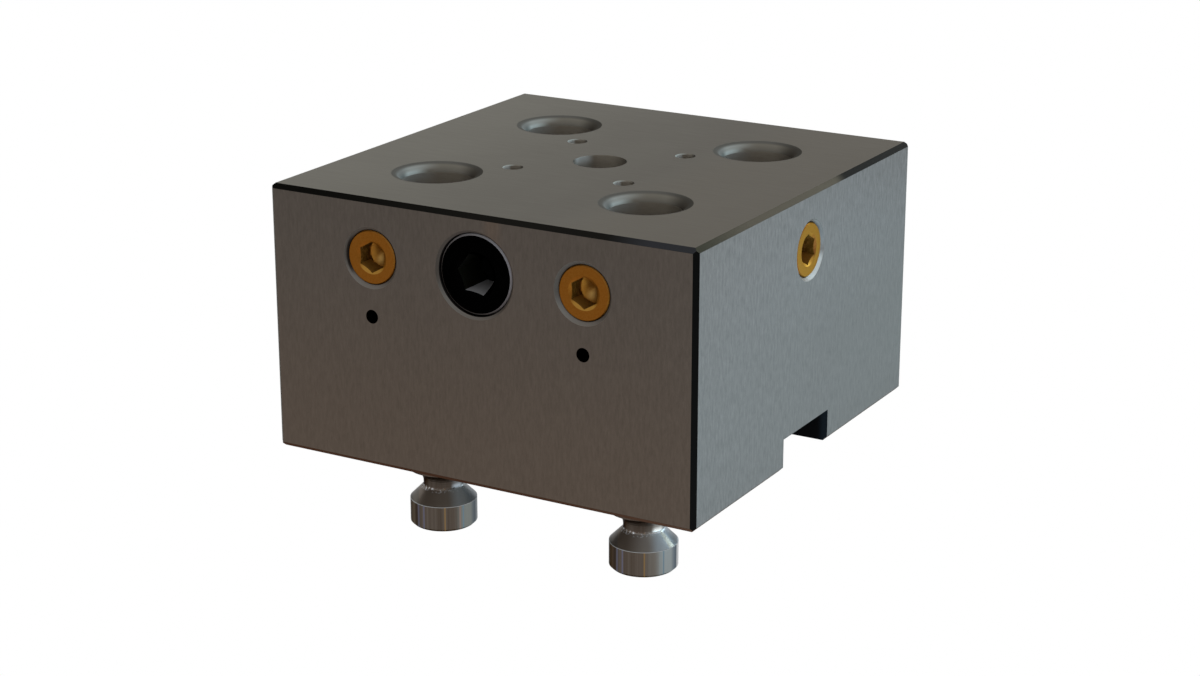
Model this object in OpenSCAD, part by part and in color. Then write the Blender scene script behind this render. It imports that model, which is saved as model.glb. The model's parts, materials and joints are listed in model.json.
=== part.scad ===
// Riser block for a 52 mm pull-stud clamping system, in millimetres.
// Two pull studs under the block's front half drop into any 52 mm receiver pattern. Four receivers
// in its top take the studs of the vise above, and one drive screw in the front clamps all four.
// Origin: centre of the block's underside. X to the right, Y to the rear, Z up.

/* [Block] */
// Width of the block, left to right
block_w = 104; // [100:1:140]
// Depth of the block, front to rear
block_d = 104; // [100:1:140]
// Height of the block
block_h = 60; // [56:1:120]
// Bevel on every outer edge
edge_bevel = 1; // [0.5:0.1:2]

/* [Receivers] */
// Centre distance of the receivers both ways, and of the pull studs
stud_pitch = 52; // [50:1:56]
// Bore of a receiver
receiver_d = 16; // [15.5:0.1:17]
// Depth of a receiver
receiver_depth = 27.6; // [25:0.1:29]
// Radius of the rounded lead-in at a receiver's mouth
receiver_lead = 2; // [1:0.1:3]
// Distance from the top face down to the axes of the clamping mechanism
clamp_drop = 13; // [12:0.1:14]

/* [Top Holes] */
// Bore of the centre locating hole
centre_d = 12; // [8:0.5:14]
// Depth of the centre locating hole
centre_depth = 5; // [3:0.5:5]
// Centre distance of the four tapped holes around it
tapped_pitch = 28; // [26:0.5:29]
// Core diameter of a tapped hole
tapped_d = 4.2; // [3.3:0.1:5]
// Depth of a tapped hole
tapped_depth = 12; // [8:0.5:14]
// Width of the bevel at a tapped hole's mouth
tapped_bevel = 0.2; // [0.2:0.1:0.6]

/* [Underside] */
// Width of the key slot
slot_w = 22.2; // [12:0.1:26]
// Depth of the key slot
slot_depth = 7.4; // [4:0.1:12]

/* [Drain Holes] */
// Bore of the drain holes that run through both receivers of a side
drain_d = 3; // [2:0.1:4]
// Height of a drain hole's lowest line over the receiver's floor
drain_step = 0.1; // [0.1:0.1:2]

/* [Drive Screw] */
// Bore for the drive screw, at its thread's outer diameter
drive_bore_d = 18; // [16:0.5:19]
// Width of the bevel at that bore's mouth
drive_mouth_bevel = 0.6; // [0.2:0.1:1]
// Diameter of the plain land at the drive screw's outer end
drive_land_d = 17.4; // [15:0.1:17.6]
// Length of that land
drive_land_len = 1.5; // [1:0.1:3]
// Length of the drive screw
drive_len = 24; // [18:0.5:26]
// Bevel round the drive screw's outer end
drive_bevel = 0.36; // [0.2:0.02:1]
// How far the released drive screw lies behind the front face
drive_recess = 0.65; // [0.3:0.05:2]
// Key width of the drive screw's hexagon socket
drive_hex = 8; // [5:0.5:10]
// Depth of the drive screw's hexagon socket
drive_hex_depth = 8.7; // [5:0.1:12]
// Turn of the hexagon socket in the released position, in degrees
drive_hex_turn = 7.4; // [-30:0.1:30]
// Diameter of the pilot that centres the drive screw in the thrust cone
pilot_d = 7; // [5:0.5:8]
// Length of the pilot
pilot_len = 2; // [1:0.5:4]
// Pitch of the drive screw's thread
drive_pitch = 1.5; // [1:0.25:2]
// Full turns of the drive screw from released to clamped
drive_turns = 3; // [1:0.5:3]

/* [Thrust Cone] */
// Bore for the thrust cone
thrust_bore_d = 12; // [11:0.5:12]
// Half angle of the thrust cone, in degrees
thrust_angle = 30; // [26:1:32]
// Radius of the thrust cone's flat tip
thrust_tip_r = 1.2; // [0.8:0.1:1.3]
// Distance from the centre to the inner vertex of a released cross plunger
wedge_start = 0.5; // [0.4:0.1:0.8]

/* [Plungers And Pins] */
// Bore for the cross plungers and for the clamp pins
pin_bore_d = 10; // [8:0.5:10]
// Half angle of a cross plunger's outer nose, in degrees
wedge_angle = 45; // [40:1:45]
// Radius of the flat tip on every plunger and pin
pin_tip_r = 1.5; // [1:0.1:1.8]
// Half angle of a clamp pin's nose, the same as the pull stud's cone
nose_angle = 45; // [40:1:50]
// How far a released clamp pin lies behind the receiver's wall
pin_setback = 0.2; // [0.1:0.1:1]

/* [Bore Plugs] */
// Bore of a plug's seat, at its thread's outer diameter
plug_bore_d = 12; // [11:0.1:14]
// Width of the bevel at the seat's mouth
plug_mouth_bevel = 0.8; // [0.2:0.05:1]
// Length of a bore plug
plug_len = 8; // [5:0.5:9]
// Bevel round a plug's outer end
plug_bevel = 0.25; // [0.1:0.05:0.8]
// How far a plug lies behind the face
plug_recess = 0.4; // [0.2:0.1:1.5]
// Key width of a plug's hexagon socket
plug_hex = 6; // [4:0.5:7]
// Depth of a plug's hexagon socket
plug_hex_depth = 4.2; // [2:0.1:4.5]
// Width of the bevel round the mouth of a plug's socket, past the hexagon's corners
plug_hex_bevel = 0.25; // [0.1:0.05:0.8]

/* [Pull Studs] */
// Diameter of a stud's locating collar
collar_d = 15.9; // [15:0.1:16]
// Bevel at the collar's upper end, under the block
collar_bevel = 0.4; // [0.2:0.1:1]
// Diameter of the spigot that centres a stud in the underside
spigot_d = 14; // [13:0.1:14.5]
// Length of the spigot
spigot_len = 4; // [2:0.5:6]
// Diameter of the threaded shank
shank_d = 12; // [10:1:12]
// Length of the shank over the spigot
shank_len = 17; // [12:1:17]
// Diameter of the neck
neck_d = 9; // [8.4:0.1:9.4]
// Height of the neck's upper end over the clamping plane
neck_rise = 1.1; // [1:0.1:1.5]
// Radius of the hollow between collar and neck
collar_hollow = 3.6; // [3.6:0.1:5]
// Radius of the hollow between neck and clamping cone
cone_hollow = 1.1; // [0.8:0.1:1.6]
// Diameter of the head
head_d = 15.2; // [14:0.1:15.3]
// Distance from the clamping plane down to the edge of the clamping cone
cone_drop = 2.7; // [2.6:0.05:3.2]
// Length of the head's cylinder under that edge
head_len = 6; // [4:0.05:7]
// Bevel round the head's lower end
head_bevel = 0.6; // [0.2:0.05:1]
// Key width of the hexagon socket in the head
stud_hex = 6; // [4:0.5:6]
// Depth of that socket
stud_hex_depth = 6.5; // [4:0.5:7]

/* [Fits] */
// Radial play of a sliding plunger, pin or cone in its bore
slide_play = 0.1; // [0.05:0.05:0.2]
// Gap kept between cone flanks, and between the screw's end and the thrust cone
flank_gap = 0.1; // [0.05:0.05:0.2]
// Radial play of a plug, spigot or shank in its seat
seat_play = 0.05; // [0.02:0.01:0.1]
// Free length behind a moving or threaded piece at the end of its bore
end_room = 0.4; // [0.2:0.1:1]

/* [Hidden] */
$fn = 96;

// Steps in one rounded corner of a turned outline
arc_steps = 10;
// Length by which a cutter passes the face that it opens
past = 1;
// Angle of a drilled hole's pointed bottom, measured from its axis
drill_half_angle = 59;
// Angle of a socket's countersink, measured from its axis
sink_half_angle = 60;
// Bevel on the inner edges of turned pieces
small_bevel = 0.5;

half_w = block_w / 2;
half_d = block_d / 2;
stud_at = stud_pitch / 2;
tapped_at = tapped_pitch / 2;
clamp_z = block_h - clamp_drop;
receiver_floor = block_h - receiver_depth;
receiver_wall = stud_at - receiver_d / 2;
drain_z = receiver_floor + drain_step + drain_d / 2;

// Strokes that one full turn-in of the drive screw gives
thrust_stroke = drive_pitch * drive_turns;
plunger_stroke = thrust_stroke * tan(thrust_angle);

pin_r = pin_bore_d / 2 - slide_play;
thrust_r = thrust_bore_d / 2 - slide_play;
drive_r = drive_bore_d / 2 - slide_play;

// Along Y, the drive screw's inner end and the thrust cone's vertex and tip, all released
drive_end = -half_d + drive_recess + drive_len;
thrust_vertex = wedge_start / tan(thrust_angle) - flank_gap / sin(thrust_angle);
thrust_tip = thrust_vertex - thrust_tip_r / tan(thrust_angle);
drive_bore_end = drive_end + thrust_stroke + end_room;
thrust_bore_end = thrust_tip + thrust_stroke + end_room;

// Along X, a released plunger's two flat tips
plunger_inner = wedge_start + pin_tip_r * tan(thrust_angle);
plunger_outer = stud_at - pin_tip_r / tan(wedge_angle);
cross_bore_end = plunger_outer + plunger_stroke + end_room;

// Along Y, a released clamp pin's two flat tips
pin_inner = pin_tip_r * tan(wedge_angle) + flank_gap / cos(wedge_angle);
pin_outer = receiver_wall - pin_setback;

plug_r = plug_bore_d / 2 - seat_play;
shank_r = shank_d / 2 - seat_play;
collar_r = collar_d / 2;
spigot_r = spigot_d / 2;
neck_r = neck_d / 2;
head_r = head_d / 2;
cone_edge_z = -(clamp_drop + cone_drop);
head_end_z = cone_edge_z - head_len;
neck_top_z = neck_rise - clamp_drop;
// Where the hollow under the neck runs out into the straight clamping cone
hollow_end_r = neck_r + cone_hollow * (1 - cos(nose_angle));
hollow_end_z = cone_edge_z + (head_r - hollow_end_r) / tan(nose_angle);

// Radius of a hexagon's corners from its key width
function hex_corner(key) = key / 2 / cos(30);

// Points of an arc round a centre, angles in degrees
function arc(centre, radius, from, to) =
    [for (i = [0 : arc_steps])
        let (angle = from + (to - from) * i / arc_steps)
        centre + radius * [cos(angle), sin(angle)]];

module turned(outline) {
    rotate_extrude() polygon(outline);
}

// Stands a child that points up along +X or along +Y
module along_x() {
    rotate([0, 90, 0]) children();
}

module along_y() {
    rotate([-90, 0, 0]) children();
}

module at_clamp_plane(x = 0, y = 0) {
    translate([x, y, clamp_z]) children();
}

// Once for each of four holes on a square in the top face
module at_square(distance) {
    for (x = [-distance, distance], y = [-distance, distance])
        translate([x, y, block_h]) children();
}

// Rectangle with bevelled corners
module bevelled_rectangle(size, bevel) {
    half = size / 2;
    polygon([
        [bevel - half.x, -half.y], [half.x - bevel, -half.y],
        [half.x, bevel - half.y], [half.x, half.y - bevel],
        [half.x - bevel, half.y], [bevel - half.x, half.y],
        [-half.x, half.y - bevel], [-half.x, bevel - half.y]
    ]);
}

// Block with the same bevel on all twelve edges, standing on its underside
module block_blank() {
    intersection() {
        linear_extrude(block_h) bevelled_rectangle([block_w, block_d], edge_bevel);
        translate([-half_w, 0, block_h / 2])
            along_x() linear_extrude(block_w) bevelled_rectangle([block_h, block_d], edge_bevel);
        translate([0, -half_d, block_h / 2])
            along_y() linear_extrude(block_d) bevelled_rectangle([block_w, block_h], edge_bevel);
    }
}

// Void of a receiver below the top face, its mouth opened by a rounded lead-in
module receiver_cut() {
    bore_r = receiver_d / 2;
    mouth_r = bore_r + receiver_lead;
    turned(concat(
        [[0, -receiver_depth], [bore_r, -receiver_depth]],
        arc([mouth_r, -receiver_lead], receiver_lead, 180, 90),
        [[mouth_r, past], [0, past]]
    ));
}

// Void of a tapped hole below the top face, with a bevelled mouth and a drilled point
module tapped_cut() {
    core_r = tapped_d / 2;
    turned([
        [0, -tapped_depth - core_r / tan(drill_half_angle)],
        [core_r, -tapped_depth],
        [core_r, -tapped_bevel],
        [core_r + tapped_bevel, 0],
        [core_r + tapped_bevel, past],
        [0, past]
    ]);
}

// Void of a pull stud's seat above the underside: spigot recess, then the shank's hole
module stud_seat_cut() {
    recess_r = spigot_r + seat_play;
    shank_hole_r = shank_r + seat_play;
    shank_hole_top = spigot_len + shank_len + end_room;
    turned([
        [0, -past], [recess_r, -past], [recess_r, spigot_len],
        [shank_hole_r, spigot_len], [shank_hole_r, shank_hole_top],
        [0, shank_hole_top + shank_hole_r / tan(drill_half_angle)]
    ]);
}

// Void of a plug's seat, bevelled mouth at the origin and the bore running on to a given length
module plugged_bore_cut(length) {
    seat_r = plug_bore_d / 2;
    mouth_r = seat_r + plug_mouth_bevel;
    seat_len = plug_recess + plug_len;
    turned([
        [0, -past], [mouth_r, -past], [mouth_r, 0], [seat_r, plug_mouth_bevel],
        [seat_r, seat_len], [pin_bore_d / 2, seat_len], [pin_bore_d / 2, length], [0, length]
    ]);
}

// Void of the drive screw's bore with a bevelled mouth, then of the thrust cone's bore
module drive_bore_cut() {
    bore_r = drive_bore_d / 2;
    mouth_r = bore_r + drive_mouth_bevel;
    bore_len = drive_bore_end + half_d;
    thrust_len = thrust_bore_end + half_d;
    translate([0, -half_d, 0]) along_y() turned([
        [0, -past], [mouth_r, -past], [mouth_r, 0], [bore_r, drive_mouth_bevel],
        [bore_r, bore_len], [thrust_bore_d / 2, bore_len], [thrust_bore_d / 2, thrust_len],
        [0, thrust_len]
    ]);
}

// Bore of one side's clamp pins, from the front face into the rear receiver
module pin_bore_cut() {
    translate([0, -half_d, 0]) along_y() plugged_bore_cut(half_d + stud_at);
}

// Bore of the cross plungers, from the right face to past the left pins' axis
module cross_bore_cut() {
    translate([half_w, 0, 0]) mirror([1, 0, 0]) along_x() plugged_bore_cut(half_w + cross_bore_end);
}

module key_slot_cut() {
    translate([-half_w - past, -slot_w / 2, -past])
        cube([block_w + 2 * past, slot_w, slot_depth + past]);
}

module block_body() {
    color([0.44, 0.43, 0.41])
    difference() {
        block_blank();
        at_square(stud_at) receiver_cut();
        at_square(tapped_at) tapped_cut();
        translate([0, 0, block_h - centre_depth]) cylinder(d = centre_d, h = centre_depth + past);
        key_slot_cut();
        at_clamp_plane() drive_bore_cut();
        at_clamp_plane() cross_bore_cut();
        for (x = [-stud_at, stud_at]) {
            translate([x, -stud_at, 0]) stud_seat_cut();
            at_clamp_plane(x) pin_bore_cut();
            translate([x, -half_d - past, drain_z])
                along_y() cylinder(d = drain_d, h = half_d + stud_at + past);
        }
    }
}

// Void of a hexagon socket that opens downwards at the origin, with a countersunk mouth
module socket_cut(key, depth, mouth_bevel) {
    corner_r = hex_corner(key);
    sink_r = corner_r + mouth_bevel;
    flat_r = key / 2;
    translate([0, 0, -past]) cylinder(r = corner_r, h = depth + past, $fn = 6);
    turned([
        [0, -past], [sink_r, -past], [sink_r, 0],
        [flat_r, (sink_r - flat_r) / tan(sink_half_angle)],
        [flat_r, depth], [0, depth + flat_r / tan(drill_half_angle)]
    ]);
}

// Drive screw from its outer face, pointing up: bevelled land, threaded body, pilot
module drive_screw_solid() {
    land_r = drive_land_d / 2;
    pilot_r = pilot_d / 2;
    difference() {
        turned([
            [0, 0], [land_r - drive_bevel, 0], [land_r, drive_bevel],
            [land_r, drive_land_len], [drive_r, drive_land_len + drive_r - land_r],
            [drive_r, drive_len - small_bevel], [drive_r - small_bevel, drive_len],
            [pilot_r, drive_len], [pilot_r, drive_len + pilot_len - small_bevel],
            [pilot_r - small_bevel, drive_len + pilot_len], [0, drive_len + pilot_len]
        ]);
        rotate(drive_hex_turn) socket_cut(drive_hex, drive_hex_depth, small_bevel / 2);
    }
}

module drive_screw() {
    color([0.06, 0.06, 0.06])
        at_clamp_plane(0, drive_end - drive_len) along_y() drive_screw_solid();
}

// Thrust cone from its vertex plane: nose, guided cylinder, recess for the screw's pilot
module thrust_cone() {
    back = drive_end + flank_gap;
    shoulder = thrust_vertex - thrust_r / tan(thrust_angle);
    recess_r = pilot_d / 2 + slide_play;
    recess_end = drive_end + pilot_len + flank_gap;
    color([0.66, 0.66, 0.67])
        at_clamp_plane() along_y() turned([
            [recess_r, back], [thrust_r - small_bevel, back], [thrust_r, back + small_bevel],
            [thrust_r, shoulder], [thrust_tip_r, thrust_tip], [0, thrust_tip],
            [0, recess_end], [recess_r, recess_end]
        ]);
}

// Right-hand cross plunger along its axis: shallow inner nose, cylinder, steep outer nose
module cross_plunger_solid() {
    turned([
        [0, plunger_inner], [pin_tip_r, plunger_inner],
        [pin_r, wedge_start + pin_r * tan(thrust_angle)],
        [pin_r, stud_at - pin_r / tan(wedge_angle)],
        [pin_tip_r, plunger_outer], [0, plunger_outer]
    ]);
}

module cross_plunger(side) {
    color([0.66, 0.66, 0.67])
        at_clamp_plane() scale([side, 1, 1]) along_x() cross_plunger_solid();
}

// Clamp pin along its axis: inner nose that the plunger wedges, cylinder, clamping nose
module clamp_pin_solid() {
    turned([
        [0, pin_inner], [pin_tip_r, pin_inner],
        [pin_r, pin_inner + (pin_r - pin_tip_r) * tan(wedge_angle)],
        [pin_r, pin_outer - (pin_r - pin_tip_r) / tan(nose_angle)],
        [pin_tip_r, pin_outer], [0, pin_outer]
    ]);
}

module clamp_pin(side, end) {
    color([0.66, 0.66, 0.67])
        at_clamp_plane(side * stud_at) rotate(end > 0 ? 0 : 180) along_y() clamp_pin_solid();
}

// Bore plug from its outer face, pointing up
module bore_plug_solid() {
    difference() {
        turned([
            [0, 0], [plug_r - plug_bevel, 0], [plug_r, plug_bevel],
            [plug_r, plug_len - small_bevel], [plug_r - small_bevel, plug_len], [0, plug_len]
        ]);
        rotate(30) socket_cut(plug_hex, plug_hex_depth, plug_hex_bevel);
    }
}

module bore_plug_front(side) {
    color([0.62, 0.40, 0.13])
        at_clamp_plane(side * stud_at, plug_recess - half_d) along_y() bore_plug_solid();
}

module bore_plug_side() {
    color([0.62, 0.40, 0.13])
        at_clamp_plane(half_w - plug_recess) rotate(90) along_y() bore_plug_solid();
}

// Pull stud round its own axis, height zero at the block's underside
module pull_stud_solid() {
    shank_top = spigot_len + shank_len;
    collar_hollow_centre = neck_r + collar_hollow;
    collar_hollow_start = acos((collar_r - collar_hollow_centre) / collar_hollow);
    difference() {
        turned(concat(
            [[0, shank_top], [shank_r - 2 * small_bevel, shank_top],
             [shank_r, shank_top - 2 * small_bevel], [shank_r, spigot_len],
             [spigot_r - small_bevel, spigot_len], [spigot_r, spigot_len - small_bevel],
             [spigot_r, 0], [collar_r - collar_bevel, 0], [collar_r, -collar_bevel]],
            arc([collar_hollow_centre, neck_top_z], collar_hollow, collar_hollow_start, 180),
            arc([neck_r + cone_hollow, hollow_end_z + cone_hollow * sin(nose_angle)],
                cone_hollow, 180, 180 + nose_angle),
            [[head_r, cone_edge_z], [head_r, head_end_z + head_bevel],
             [head_r - head_bevel, head_end_z], [0, head_end_z]]
        ));
        translate([0, 0, head_end_z]) socket_cut(stud_hex, stud_hex_depth, small_bevel);
    }
}

module pull_stud(side) {
    color([0.72, 0.73, 0.74])
        translate([side * stud_at, -stud_at, 0]) pull_stud_solid();
}

block_body();
drive_screw();
thrust_cone();
cross_plunger(-1);  // cross_plunger_left
cross_plunger(1);  // cross_plunger_right
clamp_pin(-1, -1);  // clamp_pin_front_left
clamp_pin(1, -1);  // clamp_pin_front_right
clamp_pin(-1, 1);  // clamp_pin_rear_left
clamp_pin(1, 1);  // clamp_pin_rear_right
bore_plug_front(-1);  // bore_plug_front_left
bore_plug_front(1);  // bore_plug_front_right
bore_plug_side();
pull_stud(-1);  // pull_stud_left
pull_stud(1);  // pull_stud_right
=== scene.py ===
"""Riser block with a 52 mm pull-stud pattern: finishes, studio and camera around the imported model.

Lengths are in metres, as in the frame. Inside the materials, places are in millimetres.
"""
import json
import math

import bpy
from mathutils import Matrix, Vector


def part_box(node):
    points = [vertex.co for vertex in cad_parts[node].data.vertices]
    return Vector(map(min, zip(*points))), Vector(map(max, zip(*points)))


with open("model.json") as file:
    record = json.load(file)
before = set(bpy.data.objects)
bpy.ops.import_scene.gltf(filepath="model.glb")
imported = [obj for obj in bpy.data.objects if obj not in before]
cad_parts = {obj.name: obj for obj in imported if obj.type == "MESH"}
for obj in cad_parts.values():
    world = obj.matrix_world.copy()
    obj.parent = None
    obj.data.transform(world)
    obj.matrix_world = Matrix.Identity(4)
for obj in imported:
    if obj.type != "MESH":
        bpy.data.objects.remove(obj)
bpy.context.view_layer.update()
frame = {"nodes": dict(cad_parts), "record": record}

MM = 0.001

# The part's own measures that the finishes follow, in millimetres
HALF_W, HALF_D, BLOCK_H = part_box("block_body")[1] / MM
BEVEL = 1.0
CLAMP_Z = BLOCK_H - 13.0
STUD_AT = 26.0
TAPPED_AT = 14.0
RECEIVER_R = 8.0
RECEIVER_LEAD = 2.0
TAPPED_R = 2.1
TAPPED_MOUTH = 0.2
CENTRE_R = 6.0
PLUG_R = 6.0
PLUG_MOUTH = 0.8
PLUG_BEVEL_R = 5.7
SOCKET_SINK_R = 3.66
SOCKET_R = 3.5
SOCKET_FLOOR_R = 3.1
SOCKET_DEPTH = 4.2
DRIVE_R = 9.0
DRIVE_MOUTH = 0.6
DRIVE_BEVEL_R = 8.35
DRIVE_SOCKET_R = 4.8
DRAIN_R = 1.5
DRAIN_Z = 34.0
SLOT_HALF = 11.1
SLOT_H = 7.4
STUD_HEAD_R = 7.6
CONE_EDGE_Z = -15.7
CONE_RISE = 2.9

# How far the finishes of the holes reach into the block, in millimetres
HOLE_WALLS_LOW_Z = 20.0
RECEIVER_LOW_Z = 30.0
DRAIN_END_Y = 40.0
PLUG_SEAT_FROM = 34.0
DRIVE_SEAT_FROM = 20.0
MOUTH_DEPTH = 2.0

# Ranges of a normal's share along an axis over which a face comes to count as flat, or as tilted
FLAT = (0.8, 0.95)
TILTED = (0.3, 0.5)

# The picture's right as a direction in plan, at the block, at the left stud and at the right stud
BLOCK_RIGHT = (0.866, 0.5)
LEFT_STUD_RIGHT = (0.832, 0.555)
RIGHT_STUD_RIGHT = (0.876, 0.482)

# The Mix node's sockets for colours, and the depth of every finish's bump in metres
MIX_FACTOR, MIX_FIRST, MIX_SECOND, MIX_RESULT = 0, 6, 7, 2
BUMP_DEPTH = 0.00002

# The studio: its soft white light, and its floor just under the studs
WHITE = (1.0, 1.0, 1.0)
SOFT_LIGHT = 0.5
FLOOR_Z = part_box("pull_stud_left")[0].z
FLOOR_GAP = 0.0001
FLOOR_HALF = 3.0
CARD_LIFT = 0.001

# The camera, solved from the block's corners in the photograph
CAMERA_AZIMUTH = 29.978
CAMERA_ELEVATION = 17.985
CAMERA_DISTANCE = 0.577754
CAMERA_UP = 0.017911
CAMERA_RIGHT = 0.000026
CAMERA_LENS = 75.625
CAMERA_NEAR = 0.01
SENSOR_WIDTH = 36.0


class Value:
    """One socket of a material. Python arithmetic on it adds the Math nodes."""

    def __init__(self, tree, socket):
        self.tree = tree
        self.socket = socket

    def math(self, operation, *terms):
        return self.tree.node("ShaderNodeMath", {"operation": operation}, terms)

    def __add__(self, other):
        return self.math("ADD", self, other)

    __radd__ = __add__

    def __sub__(self, other):
        return self.math("SUBTRACT", self, other)

    def __rsub__(self, other):
        return self.math("SUBTRACT", other, self)

    def __mul__(self, other):
        return self.math("MULTIPLY", self, other)

    def __truediv__(self, other):
        return self.math("DIVIDE", self, other)

    def __pow__(self, other):
        return self.math("POWER", self, other)

    def __abs__(self):
        return self.math("ABSOLUTE", self)

    def __neg__(self):
        return self.math("MULTIPLY", self, -1.0)

    def most(self, other):
        return self.math("MAXIMUM", self, other)

    def least(self, other):
        return self.math("MINIMUM", self, other)

    def sign(self):
        return self.math("SIGN", self)

    def swing(self, share):
        """A noise's swing around its middle, times a share."""
        return (self - 0.5) * share

    def step(self, low, high):
        """Rises smoothly from 0 at low to 1 at high."""
        inputs = {"Value": self, "From Min": low, "From Max": high}
        return self.tree.node("ShaderNodeMapRange", {"interpolation_type": "SMOOTHSTEP"}, inputs)

    def falls(self, low, high):
        """Falls smoothly from 1 at low to 0 at high."""
        return 1.0 - self.step(low, high)

    def within(self, limit, margin=0.02, blur=0.04):
        """Is 1 up to a limit and a margin past it, and then falls sharply to 0."""
        return self.falls(limit + margin, limit + margin + blur)

    def beyond(self, limit, blur=0.04):
        """Rises sharply from 0 to 1 at a limit."""
        return self.step(limit - blur / 2, limit + blur / 2)


class Tree:
    """Builds the nodes of one material or world."""

    def __init__(self, node_tree):
        self.nodes = node_tree.nodes
        self.links = node_tree.links
        self.nodes.clear()

    def node(self, kind, settings=None, inputs=(), output=0):
        """Adds a node, its settings first and then its sockets, and returns one of its outputs."""
        made = self.nodes.new(kind)
        for name, value in (settings or {}).items():
            setattr(made, name, value)
        pairs = inputs.items() if isinstance(inputs, dict) else enumerate(inputs)
        for name, value in pairs:
            self.feed(made.inputs[name], value)
        return Value(self, made.outputs[output])

    def feed(self, socket, value):
        """Gives a socket a link, a number, or a colour, whose alpha is filled up with 1."""
        if isinstance(value, Value):
            self.links.new(value.socket, socket)
        elif isinstance(value, tuple):
            socket.default_value = value + (1.0,) * (len(socket.default_value) - len(value))
        else:
            socket.default_value = value

    def show(self, kind, shader):
        """Adds the output node and gives it the shader."""
        output = self.nodes.new(kind)
        self.links.new(shader.socket, output.inputs["Surface"])

    def mix(self, factor, first, second, blend="MIX"):
        """Mixes two colours."""
        settings = {"data_type": "RGBA", "blend_type": blend}
        inputs = {MIX_FACTOR: factor, MIX_FIRST: first, MIX_SECOND: second}
        return self.node("ShaderNodeMix", settings, inputs, MIX_RESULT)

    def ramp(self, value, colour, *stops):
        """Colours along a value: the first one, then each stop's own from its low to its high."""
        for low, high, stop_colour in stops:
            colour = self.mix(value.step(low, high), colour, stop_colour)
        return colour

    def tint(self, colour, by):
        """Multiplies a colour by another colour."""
        return self.mix(1.0, colour, by, "MULTIPLY")

    def shade(self, colour, by):
        """Multiplies a colour by one number."""
        return self.tint(colour, self.vector(by, by, by))

    def vector(self, x, y, z):
        return self.node("ShaderNodeCombineXYZ", None, (x, y, z))

    def axes(self, vector):
        split = self.node("ShaderNodeSeparateXYZ", None, (vector,))
        outputs = split.socket.node.outputs
        return tuple(Value(self, socket) for socket in outputs)

    def away(self, across, along):
        """Distance of a point from an axis, from its two offsets."""
        return (across * across + along * along) ** 0.5

    def along(self, x, y, direction):
        """How far a point in plan lies along a direction."""
        return x * direction[0] + y * direction[1]

    def noise(self, vector, scale, detail, roughness):
        inputs = {"Vector": vector, "Scale": scale, "Detail": detail, "Roughness": roughness}
        return self.node("ShaderNodeTexNoise", None, inputs)

    def bump(self, height, strength):
        inputs = {"Height": height, "Distance": BUMP_DEPTH, "Strength": strength}
        return self.node("ShaderNodeBump", None, inputs)


class Finish(Tree):
    """A procedural material, named as its slot. x, y and z are in the piece, in millimetres."""

    slot = ""
    mirror_tint = WHITE

    def __init__(self):
        self.material = bpy.data.materials.new(self.slot)
        self.material.use_nodes = True
        super().__init__(self.material.node_tree)
        metres = self.node("ShaderNodeTexCoord", output="Object")
        inputs = {"Vector": metres, "Scale": 1.0 / MM}
        self.point = self.node("ShaderNodeVectorMath", {"operation": "SCALE"}, inputs)
        self.x, self.y, self.z = self.axes(self.point)
        normal = self.node("ShaderNodeTexCoord", output="Normal")
        self.turn_x, self.turn_y, self.turn_z = self.axes(normal)

    def close(self, colour, roughness, metallic, normal=None, matt=None):
        """Ends in a Principled shader, with a matt one mixed in where matt asks for it."""
        inputs = {"Base Color": colour, "Roughness": roughness, "Metallic": metallic,
                  "Specular Tint": self.mirror_tint}
        if normal is not None:
            inputs["Normal"] = normal
        shown = self.node("ShaderNodeBsdfPrincipled", None, inputs)
        if matt is not None:
            dull = self.node("ShaderNodeBsdfPrincipled", None,
                             {"Base Color": colour, "Roughness": 0.8, "Specular IOR Level": 0.0})
            shown = self.node("ShaderNodeMixShader", None, (matt, shown, dull))
        self.show("ShaderNodeOutputMaterial", shown)
        return self.material


def rgb(red, green, blue):
    """A colour written as 0 to 255 display values, turned into linear light."""
    def linear(value):
        share = value / 255.0
        return share / 12.92 if share <= 0.04045 else ((share + 0.055) / 1.055) ** 2.4
    return tuple(linear(value) for value in (red, green, blue))


def matt_rgb(red, green, blue):
    """The paint that shows as this display colour on a matt surface in the studio's soft light."""
    return tuple(min(1.0, value / SOFT_LIGHT) for value in rgb(red, green, blue))


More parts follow.
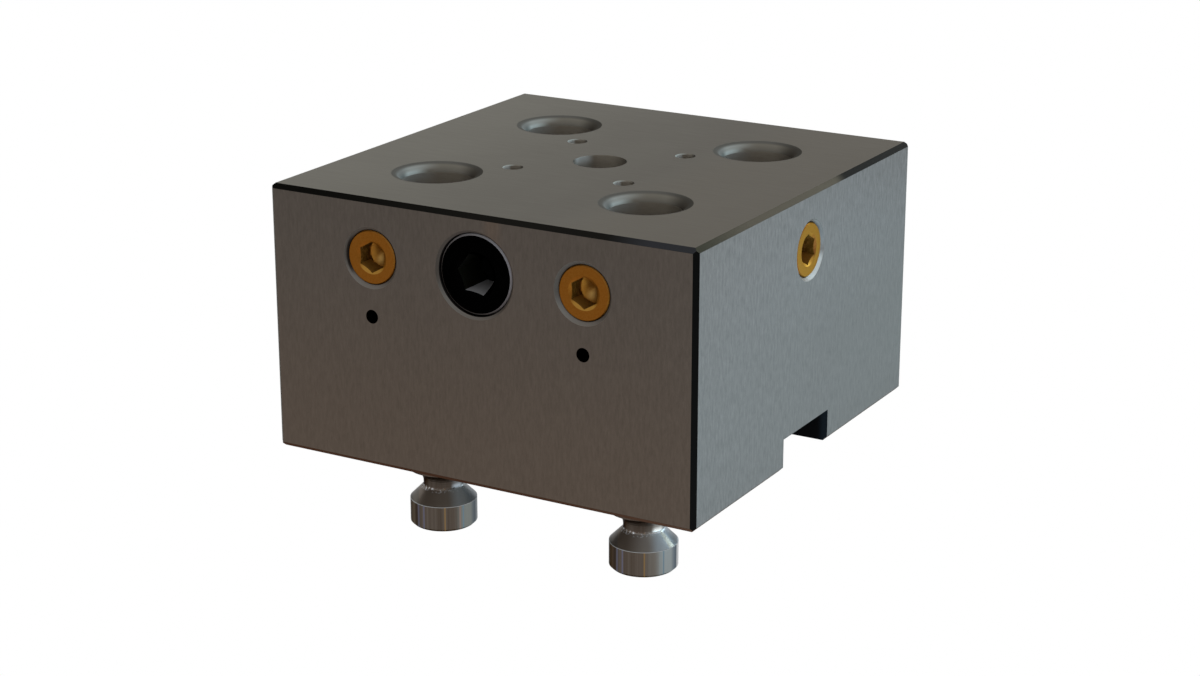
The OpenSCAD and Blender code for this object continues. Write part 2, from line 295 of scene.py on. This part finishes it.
class BlockSteel(Finish):
    """The block: ground faces with a fine grain and painted light, bevels in painted shade, bored
    and tapped holes.

    The methods that return layers give pairs of a mask and the colour painted where it is 1.
    """

    slot = "ground_steel"
    mirror_tint = (0.78, 0.77, 0.725)

    def build(self):
        self.measure()
        colour = self.faces()
        for layers in (self.hole_walls, self.lead_ins, self.centre_hole, self.tapped_mouths,
                       self.seats, self.shaded_openings, self.bevels):
            for mask, tone in layers():
                colour = self.mix(mask, colour, tone)
        roughness = 0.45 + self.grain.swing(0.12) + self.cloud.swing(0.06) - self.in_hole * 0.08
        metallic = 1.0 - self.in_hole * 0.5
        matt = self.lead_in.most(self.tapped_mouth).most(self.in_slot).most(self.in_drain)
        matt = matt.most(self.dull_bevel).most(self.dull_mouths)
        return self.close(colour, roughness, metallic, self.bump(self.grain, 0.25), matt)

    def measure(self):
        """Distances and masks that more than one method uses."""
        x, y, z = self.x, self.y, self.z
        self.level = self.turn_z.step(*FLAT)
        self.cloud = self.noise(self.point, 0.035, 2.0, 0.5)
        self.from_x = HALF_W - abs(x)
        self.from_y = HALF_D - abs(y)
        from_z = BLOCK_H / 2 - abs(z - BLOCK_H / 2)
        bevel_sum = (self.from_x + self.from_y).least(self.from_x + from_z)
        bevel_sum = bevel_sum.least(self.from_y + from_z)
        self.on_bevel = bevel_sum.within(BEVEL, 0.01, 0.03)
        self.from_receiver = self.away(abs(x) - STUD_AT, abs(y) - STUD_AT)
        in_receiver = self.from_receiver.within(RECEIVER_R + RECEIVER_LEAD)
        self.in_receiver = in_receiver * z.step(RECEIVER_LOW_Z, RECEIVER_LOW_Z + 1.0)
        self.from_tapped = self.away(abs(x) - TAPPED_AT, abs(y) - TAPPED_AT)
        self.in_tapped = self.from_tapped.within(TAPPED_R + TAPPED_MOUTH)

    def faces(self):
        """The ground faces' colour: the grain, then painted light and shade, slow changes of tint on
        each face that stand in for the room's light and reflections.
        """
        x, y, z, level = self.x, self.y, self.z, self.level
        upright_grain = self.noise(self.vector(x * 1.5, y * 1.4, z * 0.35), 1.0, 4.0, 0.8)
        level_grain = self.noise(self.vector(x * 0.1, y * 1.6, z), 1.0, 3.0, 0.6)
        self.grain = upright_grain * (1.0 - level) + level_grain * level
        on_side = abs(self.turn_x).step(*FLAT)
        strength = 0.68 + on_side * 1.12 - level * 0.50
        tone = 1.0 + self.grain.swing(strength) + self.cloud.swing(0.10)
        # Painted light: the top is lighter towards its left and its front
        tone = tone + level * ((-x).step(-10.0, 60.0) * 0.25 + (-y).step(-60.0, 60.0) * 0.07)
        steel = self.shade(rgb(78, 73, 68), tone)

        # Painted light and reflection on the top: lighter and bluer on its left, a slightly darker
        # band near x = 13 mm
        top = self.ramp(x, (1.09, 1.17, 1.20), (-45.0, 8.0, (1.0, 1.05, 1.08)),
                        (14.0, 30.0, (1.05, 1.07, 1.06)))
        top = self.mix(abs(x - 13.0).falls(2.0, 6.0), top, (0.97, 1.01, 1.04))
        # Painted light on the faces other than the right one: lighter and warmer low down, and a
        # painted reddish reflection near the top, just right of the middle
        front = self.ramp(z, (1.04, 1.01, 0.95), (0.0, 60.0, (0.98, 0.97, 0.96)))
        painted_warm_light = abs(x - 4.5).falls(0.5, 3.0) * z.step(45.0, 58.0)
        front = self.mix(painted_warm_light, front, (1.12, 1.02, 0.94))
        # Painted light on the right face: lighter and bluer towards the back and the top
        upper = z.step(20.0, 62.0)
        side_near = self.mix(upper, (1.08, 1.09, 1.15), (1.21, 1.21, 1.29))
        side_far = self.mix(upper, (0.89, 0.90, 0.95), (1.30, 1.38, 1.54))
        side = self.ramp(y, side_near, (-60.0, 60.0, side_far))
        upright = self.mix(self.turn_x.step(*FLAT), front, side)
        return self.tint(steel, self.mix(level, upright, top))

    def hole_walls(self):
        """Turned walls of the holes in painted light: lighter than the faces, lighter on the left,
        where the room's window lights them, painted shade on the right.
        """
        x, y, z = self.x, self.y, self.z
        inside = self.from_x.least(self.from_y).step(0.1, 0.2)
        inside = inside * z.step(HOLE_WALLS_LOW_Z, HOLE_WALLS_LOW_Z + 0.5) * (1.0 - self.on_bevel)
        self.in_hole = inside * (1.0 - self.level).most(self.in_receiver)
        turning = self.noise(self.vector(x * 0.5, y * 0.5, z * 3.0), 1.0, 2.0, 0.6)
        wall = self.mix(turning, rgb(150, 140, 126), rgb(166, 158, 146))
        # Painted shade on the right of each hole
        wall = self.shade(wall, 1.0 - (-self.turn_x).step(-0.1, 0.8) * 0.62)
        # Painted highlight on the left walls of the tapped holes
        lit_tapped = self.in_tapped * self.turn_x.step(0.65, 0.88)
        wall = self.mix(lit_tapped * 0.9, wall, rgb(236, 242, 242))
        return [(self.in_hole, wall)]

    def lead_ins(self):
        """Rounded lead-ins of the receivers in painted light and shade: dark on the right, a painted
        highlight on the left near the wall, a darker rim.
        """
        x, y, z = self.x, self.y, self.z
        to_left = (x.sign() * STUD_AT - x) / self.from_receiver
        to_front = (y.sign() * STUD_AT - y) / self.from_receiver
        lit_side = self.along(to_left, to_front, BLOCK_RIGHT)
        self.lead_in = self.in_receiver * z.beyond(BLOCK_H - RECEIVER_LEAD, 0.1)
        # Painted light and shade around the lead-ins: low down, in the middle and at the rim
        low_tone = self.ramp(lit_side, matt_rgb(52, 48, 43),
                             (-1.02, -0.5, matt_rgb(106, 103, 96)),
                             (0.24, 0.7, matt_rgb(161, 171, 170)),
                             (0.82, 0.95, matt_rgb(102, 107, 106)))
        mid_tone = self.ramp(lit_side, matt_rgb(54, 51, 46),
                             (-1.02, -0.5, matt_rgb(104, 101, 93)),
                             (-0.1, 0.62, matt_rgb(133, 136, 133)),
                             (0.74, 0.98, matt_rgb(104, 106, 104)))
        rim_tone = self.ramp(to_left, matt_rgb(56, 54, 50), (-0.8, 0.3, matt_rgb(80, 79, 75)))
        tone = self.ramp(z, low_tone, (BLOCK_H - 1.6, BLOCK_H - 0.8, mid_tone),
                         (BLOCK_H - 0.6, BLOCK_H - 0.1, rim_tone))
        # Painted highlight on the upper walls, on the left of each receiver
        painted_sheen = self.in_receiver * to_left.step(0.5, 1.0) * z.step(BLOCK_H - 6.0, BLOCK_H - 2.0)
        return [(painted_sheen * 0.7, rgb(190, 196, 196)), (self.lead_in, tone)]

    def centre_hole(self):
        """The centre hole's wall in painted light and shade: light on its left, dark on its right,
        with a painted highlight and painted shade at its two ends.
        """
        x, y, z = self.x, self.y, self.z
        from_centre = self.away(x, y)
        in_centre = from_centre.within(CENTRE_R) * (1.0 - self.level)
        # Painted light and shade on the walls that face sideways
        side_tone = self.ramp(self.turn_x, rgb(60, 57, 50), (0.55, 0.95, rgb(190, 196, 192)))
        sides = in_centre * abs(self.turn_x).step(0.55, 0.95) * 0.6
        lit_side = -self.along(x, y, BLOCK_RIGHT) / from_centre
        # A painted highlight left of the middle, near the top
        glow = lit_side.step(0.2, 0.55) * lit_side.falls(0.84, 0.95)
        glow = glow * z.step(BLOCK_H - 2.4, BLOCK_H - 0.6)
        # Painted shade at both ends, near the top
        ends = abs(lit_side).step(0.9, 0.97) * z.step(BLOCK_H - 0.9, BLOCK_H - 0.2)
        return [(sides, side_tone), (in_centre * glow, rgb(220, 227, 228)),
                (in_centre * ends * 0.7, rgb(60, 60, 57))]

    def tapped_mouths(self):
        """Small bevels at the tapped holes' mouths in painted light: lit on the left, shaded on the
        right.
        """
        to_left = (self.x.sign() * TAPPED_AT - self.x) / self.from_tapped
        tone = self.ramp(to_left, matt_rgb(52, 50, 46), (-0.7, 0.0, matt_rgb(104, 100, 92)),
                         (0.2, 0.9, matt_rgb(138, 143, 140)))
        near_top = self.z.step(BLOCK_H - 0.24, BLOCK_H - 0.18)
        self.tapped_mouth = self.in_tapped * near_top * (1.0 - self.level)
        return [(self.tapped_mouth, tone)]

    def seats(self):
        """Mouths of the plugs' seats and of the drive bore in painted light and shade, and painted
        shade in the gaps behind them.
        """
        x, y, turn_x, turn_y, turn_z = self.x, self.y, self.turn_x, self.turn_y, self.turn_z
        up_from_axis = self.z - CLAMP_Z
        from_front_plug = self.away(abs(x) - STUD_AT, up_from_axis)
        from_side_plug = self.away(y, up_from_axis)
        from_drive = self.away(x, up_from_axis)
        front_mouth = from_front_plug.within(PLUG_R + PLUG_MOUTH, 0.0)
        drive_mouth = from_drive.within(DRIVE_R + DRIVE_MOUTH, 0.0)
        side_mouth = from_side_plug.within(PLUG_R + PLUG_MOUTH, 0.0)
        at_front = (y + HALF_D).falls(MOUTH_DEPTH, MOUTH_DEPTH + 0.1)
        at_side = (HALF_W - x).falls(MOUTH_DEPTH, MOUTH_DEPTH + 0.1)
        flat = abs(turn_x).most(abs(turn_y)).most(abs(turn_z)).step(0.9, 0.95)
        self.dull_mouths = front_mouth.most(drive_mouth) * at_front * (1.0 - flat)

        # Painted light where a mouth faces up and right, and painted shade on the left of the left
        # plug's mouth
        catches = (turn_z + turn_x * 0.3).step(0.25, 0.75)
        front_tone = self.mix(catches, matt_rgb(68, 64, 59), matt_rgb(98, 94, 89))
        shaded = turn_x.step(0.45, 0.68) * x.falls(-1.0, 0.0)
        shaded = shaded * from_front_plug.falls(PLUG_R + 0.3, PLUG_R + 0.6)
        front_tone = self.mix(shaded, front_tone, matt_rgb(30, 27, 24))
        drive_tone = self.mix(catches, matt_rgb(60, 55, 50), matt_rgb(92, 88, 83))
        # The side plug's mouth: painted light from above, a painted highlight, darker outside, and
        # painted shade where it faces down next to the plug
        side_catch_light = (turn_z * 0.77 - turn_y * 0.64).step(0.55, 0.7)
        side_tone = self.ramp(turn_z, rgb(78, 74, 70), (-0.5, 0.9, rgb(142, 138, 134)))
        side_tone = self.mix(side_catch_light, side_tone, rgb(190, 196, 194))
        outer = from_side_plug.step(PLUG_R + 0.55, PLUG_R + 0.9) * 0.5
        side_tone = self.mix(outer, side_tone, rgb(92, 90, 86))
        shade_next_to_plug = turn_z.falls(-0.5, -0.2) * from_side_plug.falls(PLUG_R + 0.1, PLUG_R + 0.5)
        side_tone = self.mix(shade_next_to_plug, side_tone, rgb(40, 37, 34))

        def gap(from_axis, radius, outward, start):
            """Inside a bore, from where its seat starts out to the face."""
            return from_axis.within(radius, 0.04) * outward.step(start, start + 0.2)

        # Painted shade in the gaps between the plugs and screw and their bores
        gaps = gap(from_front_plug, PLUG_R, -y, PLUG_SEAT_FROM)
        gaps = gaps.most(gap(from_side_plug, PLUG_R, x, PLUG_SEAT_FROM))
        gaps = gaps.most(gap(from_drive, DRIVE_R, -y, DRIVE_SEAT_FROM))
        return [(front_mouth * at_front, front_tone), (drive_mouth * at_front, drive_tone),
                (side_mouth * at_side, side_tone), (gaps, rgb(34, 31, 29))]

    def shaded_openings(self):
        """The key slot and the drain holes are painted dark as deep shade; the slot is a little
        lighter near the faces.
        """
        self.in_slot = abs(self.y).within(SLOT_HALF) * self.z.within(SLOT_H)
        slot_tone = self.mix(self.from_x.falls(0.8, 2.5), matt_rgb(10, 9, 9), matt_rgb(20, 23, 26))
        from_drain = self.away(abs(self.x) - STUD_AT, self.z - DRAIN_Z)
        self.in_drain = from_drain.within(DRAIN_R, 0.02, 0.03)
        self.in_drain = self.in_drain * self.y.falls(DRAIN_END_Y, DRAIN_END_Y + 1.0)
        return [(self.in_slot, slot_tone), (self.in_drain, rgb(1, 1, 1))]

    def bevels(self):
        """The bevels along the outer edges in painted light and shade: the upright ones nearly
        black, the upper ones across the block lighter towards the right, the upper side ones darker
        towards the back, the lower ones a reddish brown.
        """
        x, y, turn_z = self.x, self.y, self.turn_z
        faces_side = abs(self.turn_x).step(*TILTED) * turn_z.step(*TILTED)
        side_tone = self.ramp(y, rgb(40, 38, 30), (-52.0, -25.0, rgb(66, 59, 50)),
                              (12.0, 18.0, rgb(17, 16, 18)))
        front_tone = self.ramp(x, rgb(6, 6, 5), (-52.0, 15.0, rgb(22, 21, 19)),
                               (30.0, 42.0, rgb(44, 45, 48)))
        tone = self.mix(turn_z.step(*TILTED), rgb(9, 8, 7), front_tone)
        tone = self.mix(faces_side, tone, side_tone)
        faces_down = (-turn_z).step(*TILTED)
        tone = self.mix(faces_down, tone, matt_rgb(64, 46, 35))
        self.dull_bevel = self.on_bevel * faces_down.most(faces_side * y.step(12.0, 18.0) * 0.4)
        return [(self.on_bevel, tone)]


class StudSteel(Finish):
    """The pull studs: turned steel with light and dark streaks, partly turned grain and partly
    painted reflections, and painted light that makes them brighter on the window side.
    """

    slot = "turned_steel"
    mirror_tint = (0.3, 0.3, 0.3)

    def build(self):
        z = self.z
        self.across = self.x - self.x.sign() * STUD_AT
        self.deep = self.y + STUD_AT
        self.right_hand = self.x.sign() * 0.5 + 0.5
        self.sideways = self.window_offset() / STUD_HEAD_R
        self.neck = z.step(CONE_EDGE_Z + 3.0, CONE_EDGE_Z + 3.6)
        rings = self.noise(self.vector(0.0, 0.0, z), 9.0, 2.0, 0.6)
        steel = self.shaded_neck(self.turned_head(rings))
        cone = self.turn_z.step(*TILTED)
        steel = self.mix(cone, steel, self.cone_colour())
        # A painted highlight along the cone's edge
        edge = abs(z - CONE_EDGE_Z).falls(0.04, 0.12)
        steel = self.mix(edge * 0.8, steel, rgb(176, 180, 182))
        # Painted glints in the hollow between the cone and the neck
        spots = self.vector(self.across * 1.6, self.deep * 1.6, z * 1.6)
        glint = self.noise(spots, 1.0, 3.0, 0.7).step(0.54, 0.62)
        hollow = abs(z - CONE_EDGE_Z - CONE_RISE).falls(0.15, 0.6) * glint
        steel = self.mix(hollow, steel, rgb(236, 240, 244))
        return self.close(steel, 0.3 + rings.swing(0.08), 1.0 - cone * 0.55, self.bump(rings, 0.2))

    def either(self, left, right):
        """One colour for the left stud, another for the right one."""
        return self.mix(self.right_hand, rgb(*left), rgb(*right))

    def window_offset(self):
        """How far a point lies from its stud's axis towards the picture's right."""
        right_x = self.right_hand * (RIGHT_STUD_RIGHT[0] - LEFT_STUD_RIGHT[0]) + LEFT_STUD_RIGHT[0]
        right_y = LEFT_STUD_RIGHT[1] - self.right_hand * (LEFT_STUD_RIGHT[1] - RIGHT_STUD_RIGHT[1])
        return self.along(self.across, self.deep, (right_x, right_y))

    def turned_head(self, rings):
        """The turned head in painted light: darker on the left, lighter towards the right, with
        painted bright lines that stand for the room's edges mirrored in it.
        """
        sideways = self.sideways
        # Streaks along the head: partly its turned grain, partly painted reflections
        grain = self.vector(self.across * 1.1, self.deep * 1.1, self.x.sign() * 7.0)
        streaks = self.noise(grain, 1.0, 3.0, 0.7)
        steel = self.ramp(streaks, rgb(74, 65, 57), (0.35, 0.65, rgb(88, 80, 73)))
        # Painted light and shade across the head: lighter towards the right, darker on the left
        steel = self.mix(self.right_hand * sideways.step(0.0, 0.2), steel, rgb(100, 95, 89))
        steel = self.ramp(sideways, steel,
                          (0.28, 0.62, self.either((118, 122, 119), (136, 143, 144))),
                          (0.78, 0.88, self.either((108, 115, 120), (114, 123, 131))),
                          (0.92, 0.97, self.either((176, 182, 186), (255, 255, 255))))
        steel = self.ramp(-sideways, steel, (0.66, 0.8, rgb(62, 54, 48)),
                          (0.82, 0.9, self.either((98, 90, 81), (84, 75, 67))))
        # Painted reflections: fine lines at fixed places across the head
        pink = self.either((128, 112, 104), (126, 132, 132))
        for place, wide, tint in ((-0.755, 0.035, rgb(86, 84, 94)), (-0.60, 0.03, rgb(90, 88, 102)),
                                  (0.025, 0.03, rgb(118, 96, 66)), (0.475, 0.03, pink),
                                  (0.57, 0.03, rgb(104, 122, 132))):
            line = abs(sideways - place).falls(wide * 0.4, wide) * (1.0 - self.neck)
            steel = self.mix(line, steel, tint)
        return self.shade(steel, 1.0 + streaks.swing(0.25) + rings.swing(0.08))

    def shaded_neck(self, steel):
        """The neck: painted shade under the block, with a painted highlight low on its right."""
        steel = self.mix(self.neck * 0.55, steel, rgb(58, 50, 44))
        bright = self.either((166, 176, 184), (238, 240, 236))
        low = self.z.falls(CONE_EDGE_Z + 3.5, CONE_EDGE_Z + 4.6)
        lit = self.sideways.step(0.2, 0.35) * (1.0 - self.sideways.step(0.47, 0.56) * 0.6)
        return self.mix(self.neck * lit * (low * 0.7 + 0.2), steel, bright)

    def cone_colour(self):
        """The clamping cone faces up and is painted as catching light, with a painted flare towards
        its right and a painted highlight on its far edge.
        """
        sideways = self.sideways
        left = self.either((108, 103, 95), (112, 106, 100))
        left = self.ramp(-sideways, left, (0.88, 0.95, rgb(80, 77, 71)))
        steel = self.ramp(sideways, left, (-0.76, -0.72, rgb(124, 114, 104)),
                          (-0.55, 0.1, self.either((152, 143, 133), (176, 169, 162))),
                          (0.1, 0.45, self.either((196, 203, 206), (212, 220, 226))),
                          (0.55, 0.9, self.either((160, 168, 174), (138, 143, 147))))
        flare = abs(self.turn_y + 0.08).falls(0.05, 0.10) * self.turn_x.step(0.1, 0.3)
        steel = self.mix(flare * (0.1 + self.right_hand * 0.7), steel, rgb(214, 210, 194))
        far_edge = self.either((168, 170, 178), (212, 218, 224))
        return self.ramp(sideways, steel, (0.94, 0.98, far_edge))


class HardenedSteel(Finish):
    """The hidden cone, plungers and pins: hardened and ground."""

    slot = "hardened_steel"

    def build(self):
        mottle = self.noise(self.point, 1.5, 3.0, 0.6)
        steel = self.shade(rgb(150, 150, 152), 1.0 + mottle.swing(0.2))
        return self.close(steel, 0.28 + mottle.swing(0.1), 1.0)


class BlackOxide(Finish):
    """The drive screw: blackened steel with a grey turned bevel, painted lighter where it faces up
    and right, and a painted highlight on the key socket's upward face.
    """

    slot = "black_oxide"
    mirror_tint = (0.04, 0.04, 0.04)

    def build(self):
        mottle = self.noise(self.point, 0.8, 3.0, 0.6)
        colour = self.mix(mottle, rgb(1, 1, 1), rgb(3, 3, 3))
        from_axis = self.away(self.x, self.z - CLAMP_Z)
        bevel = from_axis.beyond(DRIVE_BEVEL_R)
        # Painted light on the bevel, lighter where it faces up and right
        lit = (self.turn_x + self.turn_z).step(-0.9, 1.1)
        bevel_tone = self.mix(lit, matt_rgb(52, 49, 47), matt_rgb(122, 120, 122))
        inside = from_axis.falls(DRIVE_SOCKET_R, DRIVE_SOCKET_R + 0.1)
        inside = inside * abs(self.turn_y).falls(0.1, 0.2)
        # A painted highlight on the upward face of the key socket
        painted_key_highlight = self.turn_z.step(0.75, 0.85) * inside
        colour = self.mix(bevel, colour, bevel_tone)
        colour = self.mix(inside, colour, rgb(20, 20, 15))
        colour = self.mix(painted_key_highlight, colour, rgb(160, 160, 162))
        return self.close(colour, 0.38 + mottle.swing(0.1), 1.0 - inside, matt=bevel)


class GoldFinish(Finish):
    """The bore plugs: a gold conversion coat, slightly mottled, with painted shade inside the socket
    and painted highlights and glints.
    """

    slot = "gold_finish"
    mirror_tint = (0.95, 0.8, 0.5)

    def build(self):
        x, y, z, turn_z = self.x, self.y, self.z, self.turn_z
        on_side = x.step(STUD_AT + 10.0, STUD_AT + 11.0)

        def by_plug(front, side):
            """One number for the front plugs, another for the side plug."""
            return front * (1.0 - on_side) + side * on_side

        up_from_axis = z - CLAMP_Z
        from_axis = by_plug(self.away(abs(x) - STUD_AT, up_from_axis), self.away(y, up_from_axis))
        outward = by_plug(abs(self.turn_y), abs(self.turn_x))
        across_axis = by_plug(x - x.sign() * STUD_AT, y)
        depth = by_plug(y + HALF_D, HALF_W - x)
        mottle = self.noise(self.point, 2.6, 4.0, 0.7).step(0.3, 0.7)
        # The side plug gets a darker, browner copy of the same gold, as painted shade
        front_colour = self.mix(mottle, rgb(103, 62, 16), rgb(113, 72, 25))
        side_colour = self.mix(mottle, rgb(86, 50, 19), rgb(104, 66, 30))
        colour = self.mix(on_side, front_colour, side_colour)

        # Turned outer bevel and the socket's countersunk mouth, walls and drilled floor, all with
        # painted light and shade
        rim = from_axis.beyond(PLUG_BEVEL_R) * turn_z.step(-0.1, 0.3)
        colour = self.mix(rim, colour, rgb(128, 86, 36))
        sink = from_axis.within(SOCKET_SINK_R, 0.0) * outward.step(*TILTED)
        colour = self.mix(sink * turn_z.step(0.2, 0.4), colour, rgb(144, 106, 46))
        wall = from_axis.within(SOCKET_R, 0.0) * outward.falls(*TILTED)
        # Painted glints on the socket's walls and floor
        glints = self.noise(self.vector(x * 1.5, y * 1.5, z * 1.5), 1.0, 4.0, 0.75).step(0.4, 0.7)
        wall_tone = self.mix(turn_z.step(0.2, 0.6), (0.10, 0.045, 0.006), (0.27, 0.135, 0.024))
        wall_tone = self.mix(glints * 0.6, wall_tone, (0.34, 0.17, 0.04))
        floor = from_axis.falls(SOCKET_FLOOR_R, SOCKET_FLOOR_R + 0.1)
        floor = floor * depth.step(SOCKET_DEPTH, SOCKET_DEPTH + 0.2)
        # A painted highlight on the floor of the front plugs' sockets
        floor_highlight = self.away(across_axis + 0.8, up_from_axis + 1.6).falls(0.1, 1.7) * (1.0 - on_side)
        floor_tone = self.mix(glints * 0.5, (0.27, 0.11, 0.014), (0.40, 0.20, 0.05))
        # Painted light on the floor's left side, where its corner lies in shade
        floor_tone = self.mix(across_axis.falls(-2.8, -1.4), floor_tone, (0.75, 0.36, 0.06))
        floor_tone = self.mix(floor_highlight, floor_tone, rgb(156, 122, 68))
        colour = self.mix(floor, self.mix(wall, colour, wall_tone), floor_tone)
        matt = wall.most(floor * (1.0 - floor_highlight)) * 0.85
        return self.close(colour, 0.4 + mottle.swing(0.15), 1.0, self.bump(mottle, 0.2), matt)


FINISHES = (BlockSteel, StudSteel, HardenedSteel, BlackOxide, GoldFinish)


def dress_nodes():
    """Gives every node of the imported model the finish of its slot."""
    made = {finish.slot: finish().build() for finish in FINISHES}
    slots = {row["node"]: row["material_slot"] for row in frame["record"]["subparts"]}
    for name, node in frame["nodes"].items():
        for slot in node.material_slots:
            slot.material = made[slots[name]]


def see_white(tree, lit):
    """Mixes plain white over a lit shader for the rays that show the background."""
    path = tree.nodes.new("ShaderNodeLightPath")
    camera, glossy, through = (Value(tree, path.outputs[name]) for name in
                               ("Is Camera Ray", "Is Glossy Ray", "Is Transmission Ray"))
    seen = camera.most(glossy).most(through)
    white = tree.node("ShaderNodeEmission", None, {"Color": WHITE, "Strength": 1.0})
    return tree.node("ShaderNodeMixShader", None, (seen, lit, white))


def build_world():
    world = bpy.data.worlds.new("studio")
    world.use_nodes = True
    bpy.context.scene.world = world
    tree = Tree(world.node_tree)
    soft = tree.node("ShaderNodeBackground", None, {"Color": WHITE, "Strength": SOFT_LIGHT})
    tree.show("ShaderNodeOutputWorld", see_white(tree, soft))


def build_floor():
    mesh = bpy.data.meshes.new("floor")
    low, high = -FLOOR_HALF, FLOOR_HALF
    corners = [(low, low, 0), (high, low, 0), (high, high, 0), (low, high, 0)]
    mesh.from_pydata(corners, [], [(0, 1, 2, 3)])
    floor = bpy.data.objects.new("floor", mesh)
    floor.location.z = FLOOR_Z - FLOOR_GAP
    bpy.context.scene.collection.objects.link(floor)
    material = bpy.data.materials.new("floor_white")
    material.use_nodes = True
    tree = Tree(material.node_tree)
    matt = tree.node("ShaderNodeBsdfDiffuse", None, {"Color": (0.8, 0.8, 0.8)})
    tree.show("ShaderNodeOutputMaterial", see_white(tree, matt))
    mesh.materials.append(material)


def add_lamp(name, place, turn, size, power, colour):
    data = bpy.data.lights.new(name, "AREA")
    data.shape = "RECTANGLE"
    data.size, data.size_y = size
    data.energy = power
    data.color = colour
    lamp = bpy.data.objects.new(name, data)
    lamp.location = place
    lamp.rotation_euler = turn
    lamp.visible_camera = False
    bpy.context.scene.collection.objects.link(lamp)


def add_soft_lamp(name, place, size, power, colour):
    """A soft lamp aimed at the block's top."""
    aim = Vector((0.0, 0.0, BLOCK_H * MM)) - Vector(place)
    add_lamp(name, place, aim.to_track_quat("-Z", "Y").to_euler(), size, power, colour)


def add_card(name, low, high, glow, colour):
    """A bright card on the floor. Its glow is counted in shares of the white surroundings."""
    width, depth = high[0] - low[0], high[1] - low[1]
    place = ((low[0] + high[0]) / 2, (low[1] + high[1]) / 2, FLOOR_Z + CARD_LIFT)
    power = glow * math.pi * width * depth
    add_lamp(name, place, (math.pi, 0.0, 0.0), (width, depth), power, colour)


def build_lamps():
    add_card("cool_card", (0.065, -0.16), (0.60, 0.30), 2.6, (0.53, 0.79, 1.0))
    add_card("warm_card", (-0.20, -0.20), (0.10, -0.06), 0.25, (1.0, 0.42, 0.22))
    add_soft_lamp("rear_left_lamp", (-0.70, 0.75, 0.35), (0.5, 0.3), 0.08, (0.86, 1.0, 0.9))
    add_soft_lamp("window_lamp", (0.42, 0.66, 0.26), (0.35, 0.4), 2.0, (0.66, 0.88, 1.0))


def build_camera():
    azimuth = math.radians(CAMERA_AZIMUTH)
    elevation = math.radians(CAMERA_ELEVATION)
    right = Vector((math.cos(azimuth), math.sin(azimuth), 0.0))
    back = Vector((math.sin(azimuth) * math.cos(elevation),
                   -math.cos(azimuth) * math.cos(elevation),
                   math.sin(elevation)))
    up = back.cross(right)
    data = bpy.data.cameras.new("camera")
    data.lens = CAMERA_LENS
    data.sensor_width = SENSOR_WIDTH
    data.clip_start = CAMERA_NEAR
    camera = bpy.data.objects.new("camera", data)
    place = right * CAMERA_RIGHT + up * CAMERA_UP + back * CAMERA_DISTANCE
    turn = Matrix((right, up, back)).transposed().to_4x4()
    camera.matrix_world = Matrix.Translation(place) @ turn
    bpy.context.scene.collection.objects.link(camera)
    bpy.context.scene.camera = camera


bpy.context.scene.view_settings.view_transform = "Standard"
build_camera()
dress_nodes()
build_floor()
build_world()
build_lamps()
